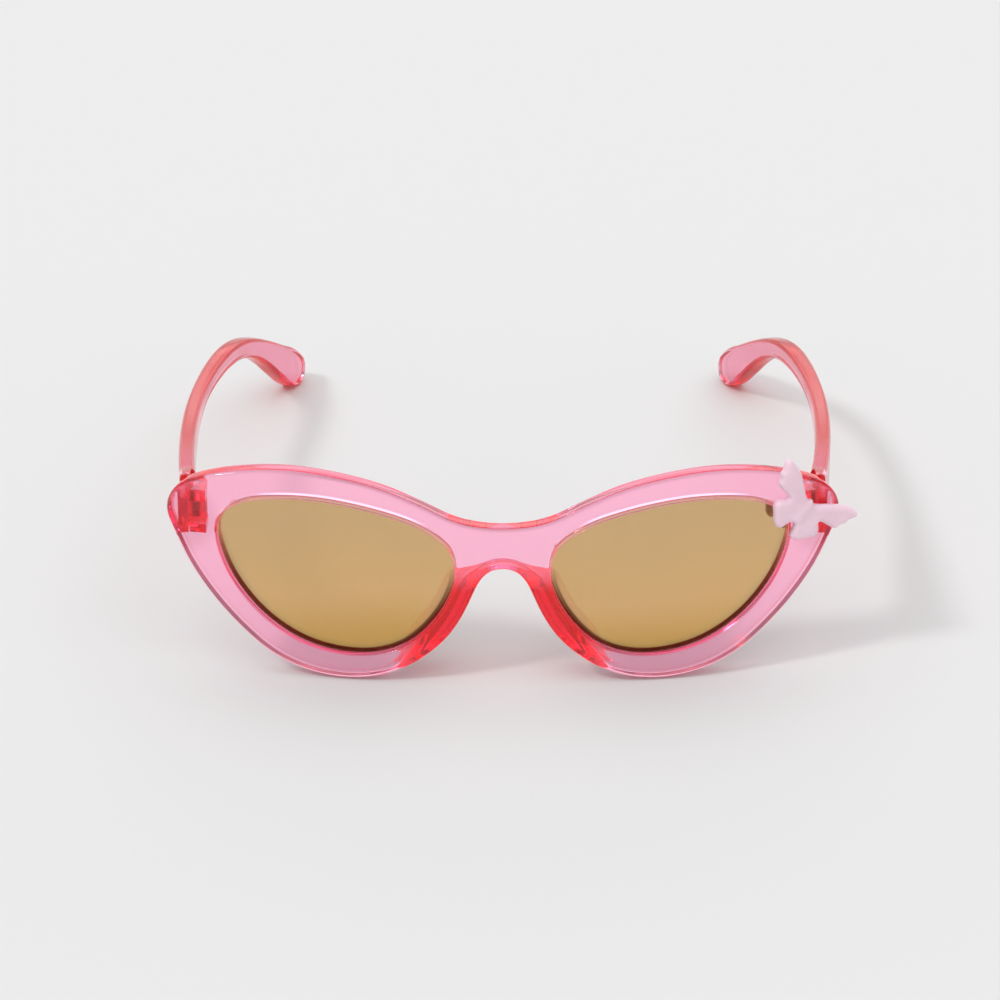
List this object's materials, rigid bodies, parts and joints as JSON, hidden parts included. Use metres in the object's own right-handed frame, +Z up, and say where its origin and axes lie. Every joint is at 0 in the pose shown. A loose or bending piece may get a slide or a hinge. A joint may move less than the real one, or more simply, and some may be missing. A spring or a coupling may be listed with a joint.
{
  "type": "cat eye sunglasses",
  "caption": "Child's cat eye sunglasses in translucent pink plastic, with mirrored lenses, folding temples and a butterfly charm on one end piece.",
  "frame": {"origin": "on the surface it stands on, at the middle of the bounding box", "axes": "+Z up, +Y backwards along the temples, +X towards the wearer's left"},
  "size_m": [0.1336, 0.1352, 0.0437],
  "materials": {
    "frame_plastic": "clear moulded plastic tinted pink, polished",
    "mirror_lens": "tinted lens with a pale gold mirror coating",
    "screw_steel": "bright turned steel",
    "charm_plastic": "pearly, half clear"
  },
  "bodies": {
    "front": {"front_frame": "frame_plastic", "lens_left": "mirror_lens", "lens_right": "mirror_lens", "hinge_screw_left": "screw_steel", "hinge_screw_right": "screw_steel", "butterfly_charm": "charm_plastic"},
    "temple_left": {"temple_left": "frame_plastic"},
    "temple_right": {"temple_right": "frame_plastic"}
  },
  "joints": [
    {"name": "temple_left_fold", "type": "hinge", "parent": "front", "child": "temple_left", "pos_m": [0.0579, -0.04851, 0.02964], "axis": [0, 0.1302, 0.9915], "range_deg": [0, 87]},
    {"name": "temple_right_fold", "type": "hinge", "parent": "front", "child": "temple_right", "pos_m": [-0.0605, -0.04851, 0.02964], "axis": [0, -0.1302, -0.9915], "range_deg": [0, 78]}
  ]
}
